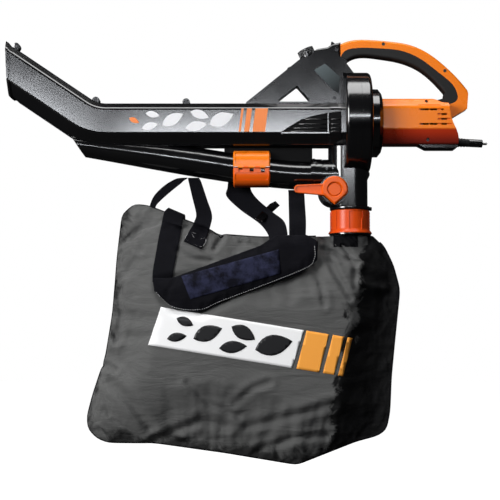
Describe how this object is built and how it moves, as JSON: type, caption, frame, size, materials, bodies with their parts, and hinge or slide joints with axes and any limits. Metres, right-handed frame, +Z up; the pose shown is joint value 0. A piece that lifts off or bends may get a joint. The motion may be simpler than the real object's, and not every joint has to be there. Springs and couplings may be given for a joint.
{
  "type": "leaf blower",
  "caption": "Electric leaf blower, vacuum and mulcher with a bent suction tube, a blow duct, a loop handle and a fabric bag hung from a twist collar.",
  "frame": {"origin": "middle of the hand grip", "axes": "+X to the motor end, -X to the mouth of the tube, +Y to the far side, +Z up"},
  "size_m": [1.158, 0.243, 1.0181],
  "materials": {
    "black_plastic": "satin",
    "orange_plastic": "gloss",
    "red_orange_plastic": "gloss",
    "soft_grip": "matte",
    "bag_fabric": "woven",
    "webbing": "ribbed webbing",
    "pad_fabric": "woven",
    "machine_steel": "ground",
    "screw_steel": "zinc plated",
    "fan_metal": "cast",
    "copper": "turned",
    "carbon": "matte",
    "pale_metal": "plated"
  },
  "bodies": {
    "machine": {"nozzle_shell_left": "black_plastic", "nozzle_shell_right": "black_plastic", "nozzle_tip_ring": "black_plastic", "tube_screws": "screw_steel", "housing_screws": "screw_steel", "fan_housing_front": "black_plastic", "fan_housing_rear": "black_plastic", "motor_ring": "black_plastic", "grip_insert": "soft_grip", "motor_housing_left": "orange_plastic", "motor_housing_right": "orange_plastic", "foot": "black_plastic", "stator": "machine_steel", "brush_ring": "black_plastic", "carbon_brushes": "carbon", "front_bearing": "machine_steel", "rear_bearing": "machine_steel", "rear_strut_left": "black_plastic", "rear_strut_right": "black_plastic", "dial_base": "black_plastic", "switch_module": "black_plastic", "outlet_body_left": "black_plastic", "outlet_body_right": "black_plastic", "duct_joint_ring": "black_plastic", "outlet_ring": "black_plastic", "bag_neck_ring": "black_plastic", "bag": "bag_fabric", "neck_patch": "webbing", "hanger_strap_near": "webbing", "hanger_strap_far": "webbing", "shoulder_strap_front": "webbing", "shoulder_strap_rear": "webbing", "shoulder_strap_tail": "webbing", "shoulder_pad": "pad_fabric", "strap_buckle": "black_plastic", "tube_clip_base": "orange_plastic", "clip_pin": "machine_steel", "cable_boot": "soft_grip", "inlet_plug": "black_plastic", "plug_pins": "pale_metal"},
    "rotor": {"motor_shaft": "machine_steel", "impeller": "fan_metal", "impeller_nut": "machine_steel", "armature": "machine_steel", "commutator": "copper", "cooling_fan": "black_plastic"},
    "mode_selector": {"mode_lever": "orange_plastic", "lever_cap": "orange_plastic", "selector_shaft": "machine_steel", "diverter_flap": "black_plastic"},
    "collar": {"bag_collar": "red_orange_plastic"},
    "dial": {"speed_dial": "black_plastic"},
    "thumb_switch": {"switch_slider": "black_plastic"},
    "lock": {"lock_button": "black_plastic"},
    "clip_door": {"tube_clip_flap": "orange_plastic"}
  },
  "joints": [
    {"name": "impeller_spin", "type": "hinge", "parent": "machine", "child": "rotor", "pos_m": [-0.06, 0, -0.1795], "axis": [1, 0, 0], "continuous": true},
    {"name": "mode_lever_turn", "type": "hinge", "parent": "machine", "child": "mode_selector", "pos_m": [-0.1234, 0, -0.3456], "axis": [0, 1, 0], "range_deg": [0, 90]},
    {"name": "bag_collar_twist", "type": "hinge", "parent": "machine", "child": "collar", "pos_m": [-0.0835, 0, -0.42], "axis": [0, 0, 1], "range_deg": [0, 40]},
    {"name": "speed_dial_turn", "type": "hinge", "parent": "machine", "child": "dial", "pos_m": [-0.182, 0, -0.0175], "axis": [-0.4226, 0, 0.9063], "range_deg": [0, 270]},
    {"name": "power_switch_slide", "type": "slide", "parent": "machine", "child": "thumb_switch", "axis": [0.9703, 0, 0.2419], "range_m": [0, 0.006]},
    {"name": "lock_button_press", "type": "slide", "parent": "machine", "child": "lock", "axis": [-1, 0, 0], "range_m": [0, 0.0025], "stiffness_N_per_m": 400, "springref_m": -0.001},
    {"name": "clip_flap_open", "type": "hinge", "parent": "machine", "child": "clip_door", "pos_m": [-0.32, -0.042, -0.291], "axis": [-1, 0, 0], "range_deg": [0, 50]}
  ]
}
